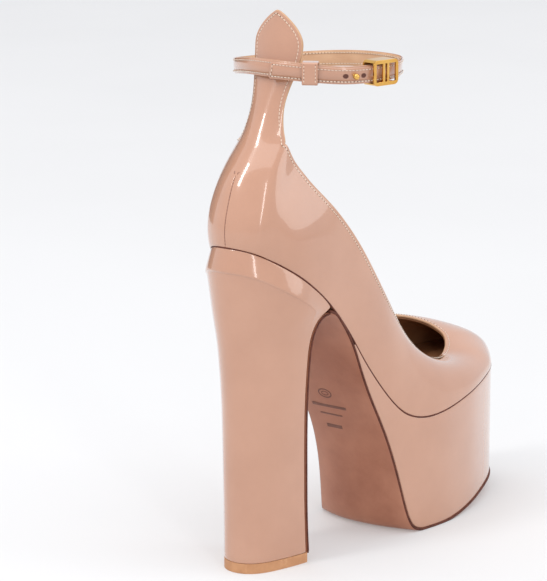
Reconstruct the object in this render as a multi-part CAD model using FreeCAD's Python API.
import FreeCAD, Part
import math
import os

# Right shoe of a pair of platform pumps with an ankle strap.  Millimetres.
# X points to the outer (lateral) side, Y to the toe, Z up.  The shapes are set
# out from the rear of the feather line; save() moves them so that the origin
# lies under the middle of the heel tip, on the ground.

V = FreeCAD.Vector
os.makedirs("parts", exist_ok=True)

# ---------------------------------------------------------------- dimensions
HEEL_TIP_CENTRE_Y = 21.5      # from the rear of the feather line
OUTLINE_REAR = -0.3           # rear of the feather line
OUTLINE_TOE = 208.5           # foremost point of the feather line
TOP_PIECE_HEIGHT = 4.8
COVER_LEATHER = 1.2           # patent leather on heel and platform
GLUE_LINE = 0.05              # between the heel core and its front cover
UPPER_LEATHER = 1.2
STIFFENER = 0.7               # counter, puff, interlining
LINING = 0.9
SOLE_THICKNESS = 2.4
MARGIN_WIDTH = 8.0            # lasting margin turned under the foot
SHANK_WIDTH = 9.0
BOARD = 2.0                   # insole board
CUSHION = 2.0
SOCK = 0.8
SEAT_BAND = 10.5              # depth of the band round the heel seat
SEAT_FLARE = 2.3
TAB_BASE_Z = 199.0            # where the back tab starts to rise
STRAP_HEIGHT = 7.4
STRAP_LEATHER = 1.0
STRAP_LINING = 0.7
STRAP_SPLIT = 0.15            # play between the two overlapping strap layers
GAP = 0.3                     # play between parts that move


# ---------------------------------------------------------------- mathematics
def spline(keys):
    """Natural cubic spline through (position, value) pairs, as a function."""
    xs = [key[0] for key in keys]
    ys = [key[1] for key in keys]
    last = len(xs) - 1
    bend = [0.0] * (last + 1)
    work = [0.0] * (last + 1)
    for i in range(1, last):
        share = (xs[i] - xs[i - 1]) / (xs[i + 1] - xs[i - 1])
        pivot = share * bend[i - 1] + 2.0
        rise = (ys[i + 1] - ys[i]) / (xs[i + 1] - xs[i])
        run = (ys[i] - ys[i - 1]) / (xs[i] - xs[i - 1])
        bend[i] = (share - 1.0) / pivot
        work[i] = (6.0 * (rise - run) / (xs[i + 1] - xs[i - 1]) - share * work[i - 1]) / pivot
    bend[last] = 0.0
    for i in range(last - 1, -1, -1):
        bend[i] = bend[i] * bend[i + 1] + work[i] if i else 0.0

    def value(x):
        x = min(max(x, xs[0]), xs[-1])
        low, high = 0, last
        while high - low > 1:
            mid = (low + high) // 2
            if xs[mid] > x:
                high = mid
            else:
                low = mid
        width = xs[high] - xs[low]
        a = (xs[high] - x) / width
        b = 1.0 - a
        curve = (a ** 3 - a) * bend[low] + (b ** 3 - b) * bend[high]
        return a * ys[low] + b * ys[high] + curve * width * width / 6.0

    return value


def ramp(*keys):
    """Smooth rise and fall without overshoot through (position, value) pairs."""
    def value(x):
        if x <= keys[0][0]:
            return keys[0][1]
        for (x0, y0), (x1, y1) in zip(keys, keys[1:]):
            if x <= x1:
                t = (x - x0) / (x1 - x0)
                return y0 + (y1 - y0) * t * t * (3.0 - 2.0 * t)
        return keys[-1][1]

    return value


def steps(start, end, count):
    return [start + (end - start) * i / (count - 1) for i in range(count)]


# ---------------------------------------------------------------- solid makers
def fit_curve(points):
    """Cubic curve through points, evenly spaced in its parameter."""
    curve = Part.BSplineCurve()
    curve.interpolate(Points=points, Parameters=[float(i) for i in range(len(points))])
    return curve


def skin(grid):
    """Smooth surface through a grid of points."""
    rows = [fit_curve(row) for row in grid]
    poles = [row.getPoles() for row in rows]
    columns = [fit_curve([row[j] for row in poles]) for j in range(len(poles[0]))]
    net = [[column.getPole(i + 1) for column in columns] for i in range(columns[0].NbPoles)]
    surface = Part.BSplineSurface()
    surface.buildFromPolesMultsKnots(
        net, columns[0].getMultiplicities(), rows[0].getMultiplicities(),
        columns[0].getKnots(), rows[0].getKnots(), False, False, 3, 3)
    return surface


def border(surface, side):
    """Curve along the first or last row (r0, r1), or first or last column (c0, c1)."""
    u0, u1, v0, v1 = surface.bounds()
    if side == "r0":
        return surface.uIso(u0)
    if side == "r1":
        return surface.uIso(u1)
    if side == "c0":
        return surface.vIso(v0)
    return surface.vIso(v1)


def strip(first, second, side):
    """Face of straight lines between the same border of two surfaces."""
    curve = border(first, side)
    poles = [curve.getPoles(), border(second, side).getPoles()]
    surface = Part.BSplineSurface()
    surface.buildFromPolesMultsKnots(
        poles, [2, 2], curve.getMultiplicities(), [0.0, 1.0], curve.getKnots(),
        False, False, 1, 3)
    return surface.toShape()


def close_up(faces, tolerance=0.01):
    """Solid from faces that share their edges."""
    shell = Part.Shell(faces)
    shell.sewShape(tolerance)
    solid = Part.Solid(shell)
    if solid.Volume < 0:
        solid.reverse()
    return solid


def quilt(blocks):
    """Solid leather layer from blocks of (outer grid, inner grid, sides to close)."""
    faces = []
    for outer_grid, inner_grid, sides in blocks:
        outer = skin(outer_grid)
        inner = skin(inner_grid)
        faces += [outer.toShape(), inner.toShape()]
        faces += [strip(outer, inner, side) for side in sides]
    return close_up(faces)


ALL_SIDES = ("r0", "r1", "c0", "c1")


def save(name, *shapes):
    """Write one sub-part, moved to the heel-tip origin."""
    shape = shapes[0] if len(shapes) == 1 else Part.makeCompound(list(shapes))
    shape = shape.copy()
    shape.translate(V(0, -HEEL_TIP_CENTRE_Y, 0))
    shape.exportStep("parts/" + name + ".step")


# ---------------------------------------------------------------- foot outline
def outline_angle(y):
    middle = (OUTLINE_REAR + OUTLINE_TOE) / 2
    reach = (OUTLINE_TOE - OUTLINE_REAR) / 2
    return math.acos(min(max((middle - y) / reach, -1.0), 1.0))


LATERAL_KEYS = (
    (-0.3, 0.0), (1.5, 7.2), (6.8, 13.9), (12.9, 18.0), (24.8, 22.9), (38.0, 24.5), (57.0, 25.3),
    (80.0, 27.0), (103.0, 30.9), (128.0, 34.4), (141.0, 34.3), (154.0, 33.1), (167.0, 30.3),
    (180.0, 26.2), (190.0, 21.6), (199.5, 14.6), (205.8, 8.1), (208.5, 0.0))
MEDIAL_KEYS = (
    (-0.3, 0.0), (1.5, 7.2), (6.8, 13.9), (12.9, 18.0), (24.8, 22.7), (36.0, 23.8), (46.0, 22.4),
    (57.0, 19.6), (68.0, 17.0), (82.0, 15.6), (93.0, 17.6), (103.0, 23.0), (112.0, 28.4),
    (122.0, 32.4), (134.0, 34.4), (146.0, 33.9), (158.0, 31.7), (170.0, 28.8), (180.0, 25.7),
    (190.0, 21.3), (199.5, 14.6), (205.8, 8.1), (208.5, 0.0))
lateral_width = spline([(outline_angle(y), w) for y, w in LATERAL_KEYS])
medial_width = spline([(outline_angle(y), w) for y, w in MEDIAL_KEYS])
axis_shift = ramp((100.0, 0.0), (200.0, -4.0))


def half_width(y, side=1.0):
    width = lateral_width if side > 0 else medial_width
    return width(outline_angle(y))


def outline(angle, inset=0.0):
    """Point of the feather line in plan: angle 0 at the heel, pi at the toe, then back."""
    side = 1.0 if angle <= math.pi else -1.0
    turn = angle if side > 0 else 2 * math.pi - angle
    middle = (OUTLINE_REAR + OUTLINE_TOE) / 2
    y = middle - (OUTLINE_TOE - OUTLINE_REAR) / 2 * math.cos(turn)
    here = V(axis_shift(y) + side * half_width(y, side), y, 0)
    if not inset:
        return here
    before = outline((angle - 0.004) % (2 * math.pi))
    after = outline((angle + 0.004) % (2 * math.pi))
    along = (after - before).normalize()
    return here + V(-along.y, along.x, 0) * inset


def inner_outline(angle, inset):
    """Outline well inside the feather line, for the inner edge of wide margins."""
    return outline(angle) + V(-math.sin(angle), math.cos(angle), 0) * inset


def prism(inset, low=-5.0, high=270.0):
    """Upright column whose plan is the foot outline, inset all round."""
    inside = inner_outline if inset > 8.0 else outline
    points = [inside(2 * math.pi * i / 96, inset) + V(0, 0, low) for i in range(96)]
    curve = Part.BSplineCurve()
    curve.interpolate(Points=points, PeriodicFlag=True)
    face = Part.Face(Part.Wire(curve.toShape()))
    return face.extrude(V(0, 0, high - low))


# ---------------------------------------------------------------- foot bed
BED_KEYS = (
    (-6.0, 154.9), (-0.3, 154.1), (12.0, 147.9), (24.5, 139.9), (36.0, 131.4), (45.0, 123.6),
    (52.0, 116.3), (58.0, 109.3), (64.0, 101.3), (70.0, 92.8), (77.0, 83.6), (84.0, 75.0),
    (91.0, 67.3), (98.0, 61.3), (105.0, 58.0), (113.0, 56.4), (123.0, 56.5), (138.0, 58.2),
    (156.0, 60.6), (181.0, 63.1), (216.0, 65.6))
bed = spline(BED_KEYS)


def bed_point(y, lift=0.0):
    """Point above the bed line at y, lifted square to it."""
    slope = (bed(y + 0.05) - bed(y - 0.05)) / 0.1
    size = math.hypot(slope, 1.0)
    return V(0, y - lift * slope / size, bed(y) + lift / size)


def bed_line(start, end, lift, count=40):
    return [bed_point(y, lift) for y in steps(start, end, count)]


def plate_from(lower, upper, reach=60.0):
    """Solid between two side-view lines of points, across the whole shoe."""
    low = fit_curve(lower).toShape()
    high = fit_curve(upper).toShape()
    first = Part.makeLine(lower[0], upper[0])
    last = Part.makeLine(lower[-1], upper[-1])
    face = Part.Face(Part.Wire(Part.__sortEdges__([low, last, high, first])))
    face.translate(V(-reach, 0, 0))
    return face.extrude(V(2 * reach, 0, 0))


def bed_layer(start, end, low, high):
    return plate_from(bed_line(start, end, low), bed_line(start, end, high))


# ---------------------------------------------------------------- upper surface
# Stations along the feather line from the end of the back panel to the toe tip:
# (y on the feather line, topline x, y, z, forward lean, outward bulge, roundness over the toes)
PANEL_END = (6.8, 12.5, 25.5, 199.0, 2.4, 2.2, 0.0)
TOE_TIP = (208.5, -4.0, 174.2, 83.0, 1.0, 1.0, 1.0)
LATERAL = (
    PANEL_END,
    (12.9, 14.6, 30.8, 191.6, 2.2, 2.2, 0.0),
    (18.7, 17.0, 34.8, 185.0, 2.0, 2.0, 0.0),
    (24.8, 19.0, 38.4, 180.0, 1.85, 1.9, 0.0),
    (31.6, 20.7, 42.2, 175.6, 1.7, 1.8, 0.0),
    (38.0, 22.1, 46.2, 171.4, 1.55, 1.7, 0.0),
    (46.0, 23.4, 51.2, 166.2, 1.4, 1.6, 0.0),
    (57.0, 24.6, 58.2, 158.4, 1.2, 1.5, 0.0),
    (68.0, 25.8, 67.5, 146.8, 1.1, 1.5, 0.0),
    (80.0, 26.4, 77.5, 133.0, 1.0, 1.5, 0.05),
    (92.0, 26.0, 87.5, 119.8, 1.0, 1.5, 0.12),
    (103.0, 24.4, 97.5, 108.4, 1.0, 1.4, 0.25),
    (115.0, 22.2, 107.8, 97.6, 1.0, 1.3, 0.4),
    (128.0, 19.6, 118.8, 88.8, 1.0, 1.2, 0.55),
    (141.0, 17.1, 130.0, 82.0, 1.0, 1.2, 0.7),
    (154.0, 14.6, 140.5, 77.6, 1.0, 1.1, 0.85),
    (167.0, 12.6, 149.6, 75.5, 1.0, 1.0, 0.95),
    (180.0, 10.0, 158.2, 75.2, 1.0, 1.0, 1.0),
    (190.0, 7.0, 165.3, 77.0, 1.0, 1.0, 1.0),
    (199.5, 3.4, 170.7, 79.2, 1.0, 1.0, 1.0),
    (205.8, -0.3, 173.5, 81.3, 1.0, 1.0, 1.0),
    TOE_TIP)
MEDIAL = (
    PANEL_END,
    (12.9, 14.6, 30.8, 191.6, 2.2, 2.2, 0.0),
    (18.7, 17.0, 34.8, 185.0, 2.0, 2.0, 0.0),
    (24.8, 19.0, 38.4, 180.0, 1.85, 1.9, 0.0),
    (31.6, 20.6, 42.2, 175.6, 1.7, 1.9, 0.0),
    (38.0, 21.8, 46.2, 171.4, 1.55, 2.0, 0.0),
    (46.0, 22.8, 51.2, 166.2, 1.4, 2.2, 0.0),
    (57.0, 23.5, 58.2, 158.4, 1.2, 2.6, 0.0),
    (68.0, 24.0, 68.0, 146.6, 1.1, 3.2, 0.0),
    (80.0, 24.4, 78.8, 132.6, 1.0, 3.6, 0.05),
    (92.0, 24.5, 89.5, 120.4, 1.0, 3.4, 0.1),
    (103.0, 24.0, 100.4, 111.0, 1.0, 2.8, 0.2),
    (115.0, 23.1, 111.2, 104.6, 1.0, 2.2, 0.32),
    (128.0, 21.8, 122.0, 100.0, 1.0, 1.8, 0.45),
    (141.0, 20.3, 132.4, 96.9, 1.0, 1.6, 0.6),
    (154.0, 18.7, 142.4, 94.5, 1.0, 1.4, 0.75),
    (167.0, 17.0, 151.6, 92.6, 1.0, 1.2, 0.88),
    (180.0, 15.3, 159.6, 90.7, 1.0, 1.0, 0.95),
    (190.0, 13.1, 165.8, 88.8, 1.0, 1.0, 1.0),
    (199.5, 10.4, 170.4, 86.8, 1.0, 1.0, 1.0),
    (205.8, 7.3, 173.3, 84.8, 1.0, 1.0, 1.0),
    TOE_TIP)
BACK = 2.0                           # stations 0 to 2 belong to the back panel
TOE = BACK + len(LATERAL) - 1.0      # station number of the toe tip
ROUND = 2 * TOE                      # stations all the way round

# Back panel and tab, by height: half width, edge y, and depth of the curve across it.
panel_half = spline((
    (148.0, 13.9), (160.0, 14.6), (170.0, 14.9), (180.0, 14.7), (190.0, 13.9), (199.0, 12.5),
    (204.0, 11.0), (208.6, 9.9), (212.9, 9.25), (216.0, 9.15), (220.8, 9.6), (226.3, 10.7),
    (231.0, 11.8), (236.0, 12.7), (240.0, 13.1), (243.5, 12.9), (247.0, 11.5), (251.7, 7.7),
    (255.0, 3.8), (257.2, 0.5)))
panel_edge = spline((
    (148.0, 6.8), (154.0, 5.5), (160.0, 5.1), (170.0, 7.2), (180.0, 11.9), (190.0, 18.6),
    (199.0, 25.5), (208.6, 28.6), (216.0, 30.6), (226.0, 34.2), (236.0, 37.6), (244.0, 38.6),
    (257.2, 37.6)))
panel_back = spline((
    (148.0, -0.1), (154.2, -0.3), (161.4, -0.8), (171.7, 1.2), (179.0, 3.7), (185.7, 7.0),
    (192.0, 11.7), (199.0, 17.6), (208.6, 23.6), (216.0, 26.9), (226.0, 31.1), (236.0, 34.9),
    (244.0, 36.2), (257.2, 37.4)))
TAB_TOP = 257.2


def panel(side, z):
    """Back panel: side -1 to 1 across, z up."""
    x = side * panel_half(z)
    y = panel_back(z) + (panel_edge(z) - panel_back(z)) * side * side
    return V(x, y, z)


def panel_foot(side):
    """Height of the feather line under the back panel."""
    return bed(panel(side, 150.0).y)


def station_point(number, share, side):
    """Point on one station, share 0 at the feather line to 1 at the topline."""
    table = LATERAL if side > 0 else MEDIAL
    foot_y, top_x, top_y, top_z, lean, bulge, dome = table[number]
    foot = V(axis_shift(foot_y) + side * half_width(foot_y, side), foot_y, bed(foot_y))
    top = V(side * top_x if number < len(table) - 1 else top_x, top_y, top_z)
    quarter = math.pi / 2 * share
    inward = (1 - dome) * share ** lean + dome * (1 - math.cos(quarter))
    upward = (1 - dome) * share + dome * math.sin(quarter)
    angle = outline_angle(foot_y)
    if side < 0:
        angle = 2 * math.pi - angle
    outward = outline(angle) - outline(angle, 1.0)
    swell = bulge * math.sin(math.pi * share) * (1 - 0.4 * share)
    return V(foot.x + (top.x - foot.x) * inward + outward.x * swell,
             foot.y + (top.y - foot.y) * inward + outward.y * swell,
             foot.z + (top.z - foot.z) * upward)


ring_cache = {}


def ring_at(share):
    """Closed spline round the shoe at one share of the height."""
    key = round(share, 6)
    if key not in ring_cache:
        points = []
        for side in (0.0, 0.5):
            low = panel_foot(side)
            points.append(panel(side, low + (TAB_BASE_Z - low) * share))
        low = panel_foot(1.0)
        points.append(panel(1.0, low + (TAB_BASE_Z - low) * share))
        points += [station_point(i, share, 1.0) for i in range(1, len(LATERAL))]
        points += [station_point(i, share, -1.0) for i in range(len(MEDIAL) - 2, 0, -1)]
        points.append(panel(-1.0, low + (TAB_BASE_Z - low) * share))
        low = panel_foot(0.5)
        points.append(panel(-0.5, low + (TAB_BASE_Z - low) * share))
        count = len(points)
        wrapped = [(i, points[i % count]) for i in range(-6, count + 7)]
        ring_cache[key] = [spline([(i, p[axis]) for i, p in wrapped]) for axis in range(3)]
    return ring_cache[key]


def wall(station, share):
    ring = ring_at(share)
    station = station % ROUND
    return V(ring[0](station), ring[1](station), ring[2](station))


def upper_point(station, share, depth=0.0):
    """Upper at a station and share of its height, depth below its face."""
    station = station % ROUND
    near = station if station <= TOE else station - ROUND
    if abs(near) <= BACK + 1e-6:
        side = near / BACK
        low = panel_foot(side)
        return tab_point(side, low + (TAB_BASE_Z - low) * share, depth)
    here = wall(station, share)
    if not depth:
        return here
    high = min(share + 0.01, 1.03)
    along = wall(station + 0.05, share) - wall(station - 0.05, share)
    rise = wall(station, high) - wall(station, max(high - 0.02, 0.0))
    return here - along.cross(rise).normalize() * depth


def tab_point(side, z, depth=0.0):
    here = panel(side, z)
    if not depth:
        return here
    along = panel(side + 0.02, z) - panel(side - 0.02, z)
    rise = panel(side, z + 0.2) - panel(side, z - 0.2)
    if along.Length < 0.01:
        return here
    return here - along.cross(rise).normalize() * depth


def wall_block(start, end, columns, outer, inner, sides, low=0.0, high=1.0):
    """Block of upper between two stations, from depth outer to depth inner."""
    grids = []
    for depth in (outer, inner):
        grids.append([[upper_point(s, h, depth) for s in steps(start, end, columns)]
                      for h in steps(low, high, 14)])
    return grids[0], grids[1], sides


TAB_ROWS = (199.0, 202.0, 205.5, 209.0, 213.0, 217.0, 221.0, 225.0, 229.0, 233.0, 237.0, 240.5,
            243.5, 246.5, 249.5, 252.0, 254.0, 255.8, 257.0)


def tab_block(outer, inner, sides, rows=TAB_ROWS):
    grids = []
    for depth in (outer, inner):
        grids.append([[tab_point(s, z, depth) for s in steps(-1.0, 1.0, 13)] for z in rows])
    return grids[0], grids[1], sides


# ---------------------------------------------------------------- upper
LATERAL_END = 16.0      # where the vamp lining takes over from the quarter lining


def make_upper():
    face = 0.0
    back = UPPER_LEATHER
    save("upper_outer", quilt([
        wall_block(-BACK, BACK, 13, face, back, ("r0",)),
        tab_block(face, back, ("r1", "c0", "c1")),
        wall_block(BACK, TOE, 43, face, back, ("r0", "r1")),
        wall_block(TOE, ROUND - BACK, 43, face, back, ("r0", "r1"))]))

    face = back
    back = face + STIFFENER
    save("heel_counter", quilt([
        wall_block(-5.0, -BACK, 7, face, back, ("r0", "r1", "c0")),
        wall_block(-BACK, BACK, 13, face, back, ("r0", "r1")),
        wall_block(BACK, 5.0, 7, face, back, ("r0", "r1", "c1"))]))
    save("tab_stiffener", quilt([tab_block(face, back, ALL_SIDES, TAB_ROWS[1:-2])]))
    save("toe_puff", quilt([
        wall_block(TOE - 6, TOE, 13, face, back, ("r0", "r1", "c0"), 0.0, 0.94),
        wall_block(TOE, TOE + 6, 13, face, back, ("r0", "r1", "c1"), 0.0, 0.94)]))
    lateral = quilt([wall_block(5.2, TOE - 6.2, 25, face, back, ALL_SIDES, 0.0, 0.97)])
    medial = quilt([wall_block(TOE + 6.2, ROUND - 5.2, 25, face, back, ALL_SIDES, 0.0, 0.97)])
    save("interlining", lateral, medial)

    face = back
    back = face + LINING
    save("quarter_lining", quilt([
        wall_block(-BACK, BACK, 13, face, back, ("r0",)),
        tab_block(face, back, ("r1", "c0", "c1")),
        wall_block(BACK, LATERAL_END, 29, face, back, ("r0", "r1", "c1")),
        wall_block(ROUND - LATERAL_END, ROUND - BACK, 29, face, back, ("r0", "r1", "c0"))]))
    save("vamp_lining", quilt([
        wall_block(LATERAL_END + 0.1, TOE, 21, face, back, ("r0", "r1", "c0")),
        wall_block(TOE, ROUND - LATERAL_END - 0.1, 21, face, back, ("r0", "r1", "c1"))]))



# ---------------------------------------------------------------- heel
SEAT_FRONT = 46.0       # the heel cover ends here, in front of the arch
SEAT_LENGTH = SEAT_FRONT - OUTLINE_REAR
heel_rear = spline((
    (0.0, 5.2), (30.0, 5.2), (60.0, 4.8), (80.0, 4.0), (98.0, 2.7), (110.0, 1.4), (120.0, 0.3),
    (132.0, -0.3), (145.0, -0.3), (160.0, -0.3)))
heel_front = spline((
    (0.0, 36.9), (30.0, 35.2), (60.0, 34.0), (80.0, 33.4), (96.0, 33.1), (103.0, 33.2),
    (109.0, 33.9), (112.0, 34.6), (115.0, 36.0), (117.4, 38.0), (119.2, 40.6), (120.6, 43.4),
    (121.6, 45.2), (122.7, 46.0), (126.0, 46.0), (160.0, 46.0)))
heel_length = ramp((0.0, 31.7), (40.0, 31.9), (118.0, 46.3))
heel_half = spline((
    (0.0, 17.5), (30.0, 18.0), (60.0, 19.0), (80.0, 20.1), (98.0, 21.6), (110.0, 22.8),
    (120.0, 24.3), (128.0, 24.9), (160.0, 24.9)))
tip_shape = spline((
    (0.0, 0.0), (0.173, 0.27), (0.322, 0.47), (0.46, 0.62), (0.6, 0.74), (0.73, 0.83),
    (0.85, 0.91), (1.0, 1.0)))
seat_share = ramp((0.0, 0.0), (112.0, 1.0))
seat_flare = spline((
    (-2.0, -0.3), (0.0, 0.0), (4.0, 0.95), (SEAT_BAND, SEAT_FLARE), (16.0, 1.75), (24.0, 0.8),
    (34.0, 0.15), (44.0, 0.0), (160.0, 0.0)))
flare_share = ramp((0.7, 1.0), (1.0, 0.1))


def seat_height(across):
    """Height of the feather line over one heel column, across -1 to 1."""
    return bed(OUTLINE_REAR + SEAT_LENGTH * across * across)


def heel_flat(across, z, front=None):
    """Point of the plain heel column."""
    front = heel_front(z) if front is None else front
    rear = heel_rear(z)
    reach = abs(across) * math.sqrt((front - rear) / heel_length(z))
    side = 1.0 if across >= 0 else -1.0
    seat_y = OUTLINE_REAR + SEAT_LENGTH * min(reach, 1.0) ** 2
    top = half_width(seat_y, side) / half_width(SEAT_FRONT)
    shape = (1 - seat_share(z)) * tip_shape(reach) + seat_share(z) * top
    return V(side * heel_half(z) * shape, rear + (front - rear) * across * across, z)


def heel_point(across, z, depth=0.0):
    """Point of the heel cover, flared under the seat, depth below its face."""
    here = heel_flat(across, z)
    if abs(across) > 0.999:
        outward = V(1.0 if across > 0 else -1.0, 0, 0)
    else:
        along = heel_flat(across + 0.001, z) - heel_flat(across - 0.001, z)
        outward = V(along.y, -along.x, 0).normalize()
    flare = seat_flare(seat_height(across) - z) * flare_share(abs(across))
    return here + outward * (flare - depth)


def heel_grid(start, end, columns, depth, upper):
    """Grid of the heel below the seat band, or of the band itself."""
    rows = []
    for share in steps(0.0, 1.0, 8 if upper else 22):
        row = []
        for across in steps(start, end, columns):
            seat = seat_height(across)
            crease = seat - SEAT_BAND
            if upper:
                z = crease + SEAT_BAND * share
            else:
                z = TOP_PIECE_HEIGHT + (crease - TOP_PIECE_HEIGHT) * share
            row.append(heel_point(across, z, depth))
        rows.append(row)
    return rows


def heel_core_solid():
    faces = []
    sides = []
    for upper in (False, True):
        pair = [skin(heel_grid(0.0, end, 15, COVER_LEATHER, upper)) for end in (1.0, -1.0)]
        sides.append(pair)
        faces += [surface.toShape() for surface in pair]
        faces.append(strip(pair[0], pair[1], "c1"))
    lower, band = sides
    faces.append(strip(lower[0], lower[1], "r0"))
    faces.append(strip(band[0], band[1], "r1"))
    return close_up(faces)


def path(keys, count):
    """Evenly shared points on a smooth side-view line through (y, z) keys."""
    length = [0.0]
    for (y0, z0), (y1, z1) in zip(keys, keys[1:]):
        length.append(length[-1] + math.hypot(y1 - y0, z1 - z0))
    along_y = spline([(s, key[0]) for s, key in zip(length, keys)])
    along_z = spline([(s, key[1]) for s, key in zip(length, keys)])
    return [V(0, along_y(s), along_z(s)) for s in steps(0.0, length[-1], count)]


BREAST_FACE = (
    (38.1, TOP_PIECE_HEIGHT), (37.3, 15.0), (36.1, 40.0), (35.3, 60.0), (34.7, 80.0), (34.4, 96.0),
    (34.6, 103.0), (35.3, 109.0), (36.9, 114.0), (39.6, 117.3), (42.8, 118.8), (SEAT_FRONT, 119.1))


def make_breast_cover():
    """Leather on the front of the heel, from the tip up over the arch."""
    crease = bed(SEAT_FRONT) - SEAT_BAND
    heights = steps(TOP_PIECE_HEIGHT, crease, 22) + steps(crease, bed(SEAT_FRONT), 8)[1:]
    inner = [V(0, heel_front(z) + GLUE_LINE, z) for z in heights]
    outer = path(BREAST_FACE, 40)
    sheet = plate_from(inner, outer)
    right = [V(heel_point(1.0, z).x, 30, z) for z in heights]
    left = [V(heel_point(-1.0, z).x, 30, z) for z in heights]
    edges = [fit_curve(right).toShape(), fit_curve(left).toShape(),
             Part.makeLine(right[0], left[0]), Part.makeLine(right[-1], left[-1])]
    wedge = Part.Face(Part.Wire(Part.__sortEdges__(edges))).extrude(V(0, 20, 0))
    return sheet.common(wedge)


def tip_solid(low, high, inset):
    """Slice of the heel tip, including the breast cover."""
    front = BREAST_FACE[0][0] - inset
    points = []
    for across in steps(-1.0, 1.0, 31):
        here = heel_flat(across, TOP_PIECE_HEIGHT, front)
        size = math.hypot(here.x, here.y - front)
        shrink = 1.0 - inset / max(size, 1.0)
        points.append(V(here.x * shrink, front + (here.y - front) * shrink, low))
    rim = fit_curve(points).toShape()
    chord = Part.makeLine(points[-1], points[0])
    return Part.Face(Part.Wire([rim, chord])).extrude(V(0, 0, high - low))


def rod(x, y, low, high, diameter):
    return Part.makeCylinder(diameter / 2, high - low, V(x, y, low))


def seat_rod(x, y, below, lift, diameter):
    """Upright rod at (x, y) from below the foot bed up to a layer above it."""
    slope = (bed(y + 0.05) - bed(y - 0.05)) / 0.1
    return rod(x, y, bed(y) - below, bed(y) + lift * math.hypot(slope, 1.0), diameter)


# ---------------------------------------------------------------- platform and sole
SOLE_FACE = (
    (SEAT_FRONT, 119.1), (49.5, 117.3), (53.4, 113.0), (56.0, 109.6), (58.9, 105.3), (61.7, 100.4),
    (63.8, 96.1), (66.0, 90.9), (68.4, 85.3), (73.9, 73.6), (80.4, 61.2), (86.0, 49.5),
    (90.8, 37.2), (94.7, 25.6), (98.6, 13.4), (101.3, 6.8), (104.4, 2.5), (109.0, 0.2),
    (115.0, -0.3), (126.0, -0.35), (135.0, 0.2), (144.0, 1.2), (152.0, 2.4), (161.0, 3.7),
    (171.0, 5.0), (183.0, 6.2), (200.0, 7.6), (216.0, 9.0))
COVER_START = 63.6      # rear corner of the platform cover, on the foot bed


def sole_lines():
    """Ground side and upper side of the outsole."""
    face = path(SOLE_FACE, 120)
    inside = [bed_point(y) for y in steps(SEAT_FRONT, COVER_START, 30)]
    for before, here, after in zip(face, face[1:], face[2:]):
        along = (after - before).normalize()
        lifted = here + V(0, -along.z, along.y) * SOLE_THICKNESS
        if lifted.z < bed(COVER_START) - 2.0:
            inside.append(lifted)
    last = face[-1] + V(0, 0, SOLE_THICKNESS)
    return face, inside + [last]


def side_slab(bottom, top, reach=60.0):
    """Solid between two side-view lines, ended by straight cuts."""
    low = Part.BSplineCurve()
    low.interpolate(bottom)
    high = Part.BSplineCurve()
    high.interpolate(top)
    edges = [low.toShape(), high.toShape()]
    for a, b in ((bottom[0], top[0]), (bottom[-1], top[-1])):
        if (a - b).Length > 1e-6:
            edges.append(Part.makeLine(a, b))
    face = Part.Face(Part.Wire(Part.__sortEdges__(edges)))
    face.translate(V(-reach, 0, 0))
    return face.extrude(V(2 * reach, 0, 0))


def platform_slab(inside):
    """Everything between the outsole and the foot bed."""
    under = [p for p in inside if p.y > COVER_START + 0.01]
    start = bed_point(COVER_START)
    over = [bed_point(y) for y in steps(COVER_START, under[-1].y, 60)]
    return side_slab([start] + under, over)


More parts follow.
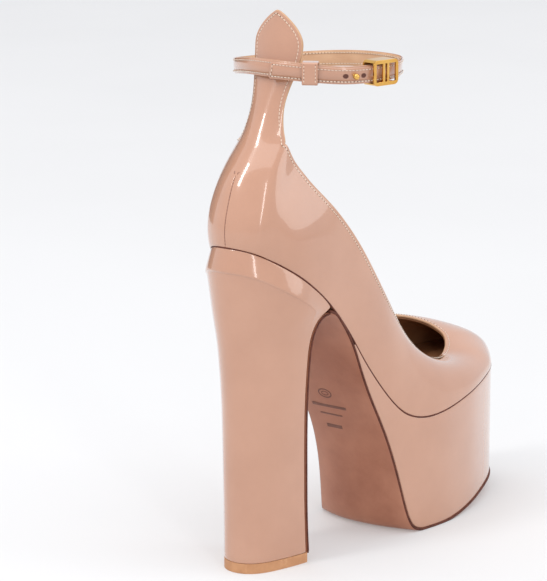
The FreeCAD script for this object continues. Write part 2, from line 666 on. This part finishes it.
def make_bottom():
    whole = prism(0.0)
    face, inside = sole_lines()
    ground = Part.makeBox(100.0, 60.0, 5.0, V(-50.0, 90.0, -5.0))
    save("outsole", side_slab(face, inside).common(prism(0.15)).cut(ground))

    slab = platform_slab(inside)
    core_column = prism(COVER_LEATHER)
    save("platform_cover", slab.common(whole).cut(core_column))
    platform_core = slab.common(core_column)

    core = heel_core_solid().cut(bed_layer(-6.0, SEAT_FRONT + 4.0, 0.0, 6.0))
    save("heel_cover", quilt([
        (heel_grid(-1.0, 1.0, 29, 0.0, False), heel_grid(-1.0, 1.0, 29, COVER_LEATHER, False),
         ("r0", "c0", "c1")),
        (heel_grid(-1.0, 1.0, 29, 0.0, True), heel_grid(-1.0, 1.0, 29, COVER_LEATHER, True),
         ("r1", "c0", "c1"))]))
    save("heel_breast_cover", make_breast_cover())

    tip = tip_solid(0.0, TOP_PIECE_HEIGHT, 0.0)
    pins = [rod(x, y, 2.4, 16.0, 3.0) for x, y in ((-7.0, 17.0), (7.0, 17.0), (0.0, 30.0))]
    save("heel_top_piece", tip.cut(pins[0]).cut(pins[1]).cut(pins[2]))
    save("top_piece_pins", *pins)

    margin_height = UPPER_LEATHER
    board_top = margin_height + BOARD
    cushion_top = board_top + CUSHION
    lining_depth = UPPER_LEATHER + STIFFENER + LINING
    margin = bed_layer(-2.0, 212.0, 0.0, margin_height)
    margin_ring = margin.common(prism(lining_depth)).cut(prism(lining_depth + MARGIN_WIDTH))
    slot = Part.makeBox(SHANK_WIDTH, 76.0, 200.0, V(-SHANK_WIDTH / 2, 16.0, 0))
    shank_bar = bed_layer(8.0, 100.0, 0.0, margin_height).common(slot)
    filler = bed_layer(4.0, 196.0, 0.0, margin_height)
    filler = filler.common(prism(lining_depth + MARGIN_WIDTH)).cut(slot)
    board = bed_layer(-1.0, 210.0, margin_height, board_top).common(prism(3.4))
    cushion = bed_layer(0.0, 209.0, board_top, cushion_top).common(prism(4.3))
    sock = bed_layer(1.0, 208.0, cushion_top, cushion_top + SOCK).common(prism(5.0))

    screw = seat_rod(0.0, 20.0, 38.0, board_top, 4.0)
    nails = [seat_rod(x, y, 14.0, board_top, 1.8)
             for x, y in ((-15.0, 15.5), (15.0, 15.5), (-16.5, 30.0), (16.5, 30.0))]
    rivets = [seat_rod(0.0, y, 5.0, board_top, 3.4) for y in (34.0, 88.0)]
    for tool in [screw] + nails + rivets:
        core = core.cut(tool)
        platform_core = platform_core.cut(tool)
        shank_bar = shank_bar.cut(tool)
    for pin in pins:
        core = core.cut(pin)
    save("heel_core", core)
    save("platform_core", platform_core)
    save("lasting_margin", margin_ring)
    save("shank_spring", shank_bar)
    save("bottom_filler", filler)
    save("insole_board", board)
    save("insole_cushion", cushion)
    save("sock_lining", sock)
    save("heel_seat_screw", screw.cut(cushion))
    save("heel_nails", *[nail.cut(cushion) for nail in nails])
    save("shank_rivets", *[rivet.cut(cushion) for rivet in rivets])


# ---------------------------------------------------------------- ankle strap
# Middle line of the strap in plan, starting at the buckle and running backwards:
# (x, y, height of the top edge, lean of the band towards the front)
STRAP_RING = (
    (39.8, 66.5, 233.8, 0.0), (37.3, 55.8, 233.6, 0.0), (31.0, 46.0, 233.5, 0.03),
    (21.0, 38.0, 234.3, 0.1), (10.5, 32.7, 235.2, 0.24), (0.0, 30.9, 235.5, 0.34),
    (-10.5, 32.7, 235.2, 0.24), (-21.0, 38.0, 233.9, 0.1), (-31.0, 46.0, 232.0, 0.03),
    (-38.0, 55.8, 230.4, 0.0), (-41.0, 66.5, 229.4, 0.0), (-40.0, 77.0, 229.0, 0.0),
    (-34.0, 87.5, 229.2, 0.0), (-22.0, 95.0, 230.4, 0.0), (0.0, 98.5, 232.2, 0.0),
    (21.5, 95.0, 233.0, 0.0), (33.0, 87.5, 233.4, 0.0), (38.8, 77.5, 233.6, 0.0))
RING = len(STRAP_RING)
UNDER_END = 0.3                 # where the buckle end of the strap starts
TIP_END = RING + 4.77           # where the free end stops
STUD_PLACE = 1.62
KEEPER_PLACE = 3.15
BUCKLE_PLACE = 0.38
STRAP_THICKNESS = STRAP_LEATHER + STRAP_LINING
OVERLAP_STEP = STRAP_THICKNESS + STRAP_SPLIT
strap_out = ramp((RING - 1.6, 0.0), (RING - 0.1, OVERLAP_STEP))
strap_drop = ramp((RING - 1.6, 0.0), (RING + 1.0, 0.4))

ring_keys = [[(i, STRAP_RING[i % RING][axis]) for i in range(-6, RING + 12)] for axis in range(4)]
ring_x, ring_y, ring_top, ring_lean = [spline(keys) for keys in ring_keys]


def strap_frame(place):
    """Middle of the inner strap layer, its direction and its outward side."""
    here = V(ring_x(place), ring_y(place), ring_top(place) - STRAP_HEIGHT / 2)
    ahead = V(ring_x(place - 0.01), ring_y(place - 0.01), 0)
    behind = V(ring_x(place + 0.01), ring_y(place + 0.01), 0)
    forward = (ahead - behind).normalize()
    return here, forward, V(forward.y, -forward.x, 0)


def strap_point(place, rise, out):
    """Point of the strap: rise -0.5 to 0.5 over its height, out from its middle."""
    here, forward, outward = strap_frame(place)
    height = rise * STRAP_HEIGHT
    lean = outward * (-height * ring_lean(place))
    drop = V(0, 0, height - strap_drop(place))
    return here + lean + drop + outward * (out + strap_out(place))


def strap_layer(outer, inner):
    grids = []
    for out in (outer, inner):
        grids.append([[strap_point(place, rise, out) for place in steps(UNDER_END, TIP_END, 150)]
                      for rise in steps(-0.5, 0.5, 5)])
    return quilt([(grids[0], grids[1], ALL_SIDES)])


def on_strap(shape, place):
    """Move a shape drawn with +X outward, +Y forward and +Z up onto the strap."""
    here, forward, outward = strap_frame(place)
    matrix = FreeCAD.Matrix(
        outward.x, forward.x, 0, here.x,
        outward.y, forward.y, 0, here.y,
        0, 0, 1, here.z,
        0, 0, 0, 1)
    moved = shape.copy()
    moved.Placement = FreeCAD.Placement(matrix)
    return moved


def box(x, y, z):
    """Box from three (low, high) pairs."""
    return Part.makeBox(x[1] - x[0], y[1] - y[0], z[1] - z[0], V(x[0], y[0], z[0]))


def rounded_box(x, y, z, radius, axis):
    """Box with its four edges along one axis rounded."""
    block = box(x, y, z)
    edges = []
    for edge in block.Edges:
        a, b = [vertex.Point for vertex in edge.Vertexes]
        if abs((b - a).normalize().dot(axis)) > 0.9:
            edges.append(edge)
    return block.makeFillet(radius, edges)


OUTER_FACE = OVERLAP_STEP + STRAP_THICKNESS / 2     # outer face of the free end
INNER_FACE = -STRAP_THICKNESS / 2
HOLE_PITCH = 0.33                                   # in stations along the strap
BUCKLE_WIDTH = 15.0
BUCKLE_HEIGHT = 11.6
BUCKLE_WALL = 1.0
BUCKLE_BACK = -3.3
BUCKLE_FRONT = 4.4
BAR_OUT = -0.6
BAR_FORWARD = 2.6
BAR_DIAMETER = 1.4
LOOP_DIAMETER = 3.0
LOOP_START = 0.9                                    # just past the end of the strap


def outward_rod(place, start, end, diameter, rise=0.0):
    rod_shape = Part.makeCylinder(diameter / 2, end - start, V(start, 0, rise), V(1, 0, 0))
    return on_strap(rod_shape, place)


def make_strap():
    outer_leather = strap_layer(STRAP_THICKNESS / 2, STRAP_THICKNESS / 2 - STRAP_LEATHER)
    lining = strap_layer(STRAP_THICKNESS / 2 - STRAP_LEATHER, -STRAP_THICKNESS / 2)
    drop = -strap_drop(RING + STUD_PLACE)
    holes = [outward_rod(STUD_PLACE + n * HOLE_PITCH, 0.95, 4.0, 2.1, drop) for n in (-1, 0, 1)]
    stem = outward_rod(STUD_PLACE, INNER_FACE, OUTER_FACE + 0.4, 1.5, drop)
    for tool in holes + [stem]:
        outer_leather = outer_leather.cut(tool)
        lining = lining.cut(tool)
    save("ankle_strap_outer", outer_leather)
    save("ankle_strap_lining", lining)

    ball = Part.makeSphere(1.45, V(OUTER_FACE + 1.2, 0, drop))
    save("ball_stud", on_strap(ball, STUD_PLACE).fuse(stem))
    washer = outward_rod(STUD_PLACE, INNER_FACE - 0.5, INNER_FACE, 4.0, drop)
    save("stud_washer", washer)

    loop = Part.makeCylinder(LOOP_DIAMETER / 2, STRAP_HEIGHT - 0.4, V(BAR_OUT, BAR_FORWARD, -3.5))
    bore = Part.makeCylinder(BAR_DIAMETER / 2 + GAP, 20.0, V(BAR_OUT, BAR_FORWARD, -10.0))
    tongue = box((INNER_FACE, -INNER_FACE), (LOOP_START, BAR_FORWARD), (-3.5, 3.5))
    save("strap_end_loop", on_strap(loop.fuse(tongue).cut(bore), BUCKLE_PLACE))

    half_width_y = BUCKLE_WIDTH / 2
    half_height = BUCKLE_HEIGHT / 2
    body = rounded_box((BUCKLE_BACK, BUCKLE_FRONT), (-half_width_y, half_width_y),
                       (-half_height, half_height), 2.4, V(1, 0, 0))
    room = box((BUCKLE_BACK + 0.8, BUCKLE_FRONT - BUCKLE_WALL), (-20, 20),
               (-half_height + 1.2, half_height - 1.2))
    frame = body.cut(room)
    window_half = half_width_y - 1.6
    for low, high in ((-window_half, -1.9), (-0.6, 0.6), (1.9, window_half)):
        window = box((BUCKLE_FRONT - 2.0, BUCKLE_FRONT + 1.0), (low, high),
                     (-half_height + 1.7, half_height - 1.7))
        frame = frame.cut(window)
    bar = Part.makeCylinder(BAR_DIAMETER / 2, BUCKLE_HEIGHT - 2.4,
                            V(BAR_OUT, BAR_FORWARD, -half_height + 1.2))
    save("buckle_frame", on_strap(frame, BUCKLE_PLACE))
    save("buckle_bar", on_strap(bar, BUCKLE_PLACE))

    middle = -0.2
    sleeve = rounded_box((-2.9, 4.25), (-3.6, 3.6), (-5.2 + middle, 5.2 + middle), 1.2, V(0, 1, 0))
    tunnel = rounded_box((-2.0, 3.35), (-9.0, 9.0), (-4.4 + middle, 4.4 + middle), 0.4, V(0, 1, 0))
    save("keeper_loop", on_strap(sleeve.cut(tunnel), KEEPER_PLACE))

    heights = steps(229.0, 234.6, 5)
    grids = [[[tab_point(s, z, depth) for s in steps(-0.45, 0.45, 7)] for z in heights]
             for depth in (-0.6, -0.02)]
    save("strap_anchor", quilt([(grids[0], grids[1], ALL_SIDES)]))


make_upper()
make_bottom()
make_strap()
